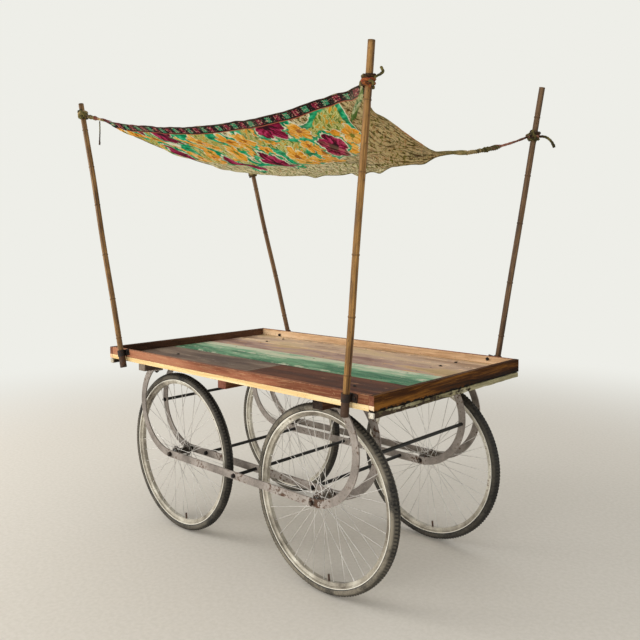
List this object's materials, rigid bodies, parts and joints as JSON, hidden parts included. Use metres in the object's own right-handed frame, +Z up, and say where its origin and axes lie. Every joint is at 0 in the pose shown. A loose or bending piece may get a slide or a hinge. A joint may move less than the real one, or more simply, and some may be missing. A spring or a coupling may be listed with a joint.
{
  "type": "market cart",
  "caption": "Flat market cart with a railed plank deck on curled flat-bar frames, spoked bicycle-type wheels and a cloth canopy tied to leaning bamboo poles.",
  "frame": {"origin": "on the floor under the middle of the whole cart's box", "axes": "+Z up, X along the deck with the short cloth end at +X, Y across with the front long side at -Y"},
  "size_m": [1.9381, 1.0327, 1.9528],
  "materials": {
    "rail_paint": "worn terracotta paint",
    "raw_strip": "bare sawn wood",
    "end_varnish": "old dark varnish",
    "grey_plank": "weathered grey",
    "red_plank": "weathered red-brown",
    "green_plank": "worn green paint",
    "tan_plank": "weathered tan",
    "bearer_wood": "rough sawn",
    "batten_wood": "flaking pale paint",
    "bar_paint": "weathered taupe paint",
    "black_steel": "worn black",
    "galvanised": "dull zinc with rust",
    "bearing_steel": "polished",
    "tyre_rubber": "dusty",
    "tube_rubber": "matte",
    "bamboo": "smoked and dry",
    "socket_steel": "rusty brown",
    "canopy_cloth": "printed cotton",
    "knot_cloth": "twisted cotton"
  },
  "bodies": {
    "cart": {"front_rail": "rail_paint", "back_rail": "rail_paint", "left_rail": "end_varnish", "right_rail": "end_varnish", "edge_strips": "raw_strip", "end_battens": "batten_wood", "front_left_plank": "grey_plank", "front_right_plank": "red_plank", "green_plank": "green_plank", "third_plank": "tan_plank", "back_plank": "tan_plank", "left_bearer": "bearer_wood", "middle_bearer": "bearer_wood", "right_bearer": "bearer_wood", "nails": "galvanised", "foot_bolts": "galvanised", "hex_nuts": "galvanised", "axle_washers": "galvanised", "axles": "galvanised", "axle_cones": "bearing_steel", "bearing_balls": "bearing_steel", "front_outer_bar": "bar_paint", "front_inner_bar": "bar_paint", "back_inner_bar": "bar_paint", "back_outer_bar": "bar_paint", "cross_rods": "black_steel", "socket_clips": "black_steel", "clip_bolts": "black_steel", "pole_sockets": "socket_steel", "front_left_pole": "bamboo", "front_right_pole": "bamboo", "back_right_pole": "bamboo", "back_left_pole": "bamboo", "canopy": "canopy_cloth", "gathered_corners": "canopy_cloth", "front_left_twist": "knot_cloth", "back_right_twist": "knot_cloth", "lashings": "knot_cloth", "loose_ends": "knot_cloth"},
    "front_left_wheel": {"front_left_tyre": "tyre_rubber", "front_left_inner_tube": "tube_rubber", "front_left_rim": "galvanised", "front_left_spokes": "galvanised", "front_left_hub": "galvanised"},
    "front_right_wheel": {"front_right_tyre": "tyre_rubber", "front_right_inner_tube": "tube_rubber", "front_right_rim": "galvanised", "front_right_spokes": "galvanised", "front_right_hub": "galvanised"},
    "back_right_wheel": {"back_right_tyre": "tyre_rubber", "back_right_inner_tube": "tube_rubber", "back_right_rim": "galvanised", "back_right_spokes": "galvanised", "back_right_hub": "galvanised"},
    "back_left_wheel": {"back_left_tyre": "tyre_rubber", "back_left_inner_tube": "tube_rubber", "back_left_rim": "galvanised", "back_left_spokes": "galvanised", "back_left_hub": "galvanised"}
  },
  "joints": [
    {"name": "front_left_wheel_spin", "type": "hinge", "parent": "cart", "child": "front_left_wheel", "pos_m": [-0.39527, -0.331, 0.355], "axis": [0, 1, 0], "continuous": true},
    {"name": "front_right_wheel_spin", "type": "hinge", "parent": "cart", "child": "front_right_wheel", "pos_m": [0.49673, -0.331, 0.355], "axis": [0, 1, 0], "continuous": true},
    {"name": "back_right_wheel_spin", "type": "hinge", "parent": "cart", "child": "back_right_wheel", "pos_m": [0.49673, 0.331, 0.355], "axis": [0, 1, 0], "continuous": true},
    {"name": "back_left_wheel_spin", "type": "hinge", "parent": "cart", "child": "back_left_wheel", "pos_m": [-0.39527, 0.331, 0.355], "axis": [0, 1, 0], "continuous": true}
  ]
}
